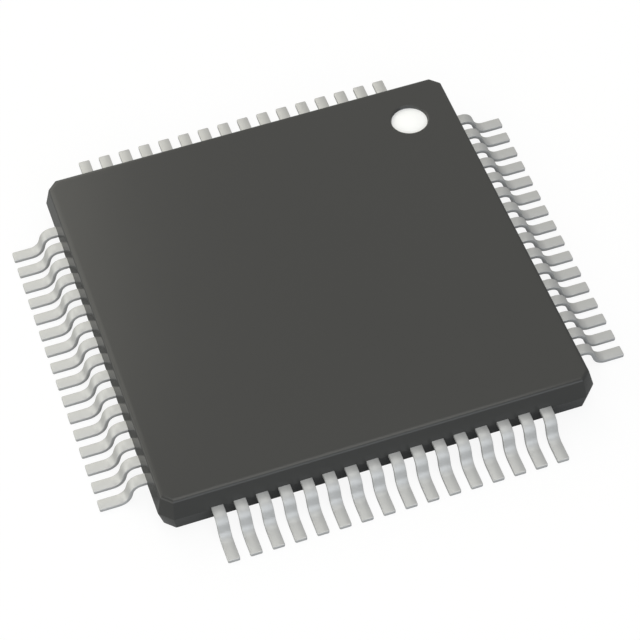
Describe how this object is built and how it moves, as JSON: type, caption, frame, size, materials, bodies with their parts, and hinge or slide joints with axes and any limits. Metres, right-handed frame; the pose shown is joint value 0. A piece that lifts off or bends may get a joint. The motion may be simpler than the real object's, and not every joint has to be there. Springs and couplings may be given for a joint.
{
  "type": "quad flat pack chip",
  "caption": "Quad flat pack integrated circuit: thin moulded body with a pin-one mark, and formed gull-wing leads on all four sides for surface soldering.",
  "frame": {"origin": "centre of the seating plane, level with the soles of the feet and midway between the four rows", "axes": "+Z points away from the board, out of the top face; +X points out of the row with pins 33 to 48, and +Y out of the row with pins 49 to 64, so the pin-one mark is in the -X, +Y corner"},
  "size_m": [0.0122, 0.0122, 0.001],
  "materials": {
    "mould_compound": "matte, finely textured by the mould",
    "white_ink": "matte ink",
    "tin_plate": "matte tin plate with fine drawing lines along the lead",
    "copper": "bare rolled copper",
    "silver_adhesive": "cured silver-filled epoxy",
    "silicon": "polished",
    "gold": "bright drawn wire"
  },
  "bodies": {
    "root": {"moulded_body": "mould_compound", "pin_one_mark": "white_ink", "die_pad": "copper", "die_attach": "silver_adhesive", "silicon_die": "silicon", "leads_1_to_4": "tin_plate", "leads_5_to_8": "tin_plate", "leads_9_to_12": "tin_plate", "leads_13_to_16": "tin_plate", "leads_17_to_20": "tin_plate", "leads_21_to_24": "tin_plate", "leads_25_to_28": "tin_plate", "leads_29_to_32": "tin_plate", "leads_33_to_36": "tin_plate", "leads_37_to_40": "tin_plate", "leads_41_to_44": "tin_plate", "leads_45_to_48": "tin_plate", "leads_49_to_52": "tin_plate", "leads_53_to_56": "tin_plate", "leads_57_to_60": "tin_plate", "leads_61_to_64": "tin_plate", "bond_wires_1_to_4": "gold", "bond_wires_5_to_8": "gold", "bond_wires_9_to_12": "gold", "bond_wires_13_to_16": "gold", "bond_wires_17_to_20": "gold", "bond_wires_21_to_24": "gold", "bond_wires_25_to_28": "gold", "bond_wires_29_to_32": "gold", "bond_wires_33_to_36": "gold", "bond_wires_37_to_40": "gold", "bond_wires_41_to_44": "gold", "bond_wires_45_to_48": "gold", "bond_wires_49_to_52": "gold", "bond_wires_53_to_56": "gold", "bond_wires_57_to_60": "gold", "bond_wires_61_to_64": "gold"}
  },
  "joints": []
}
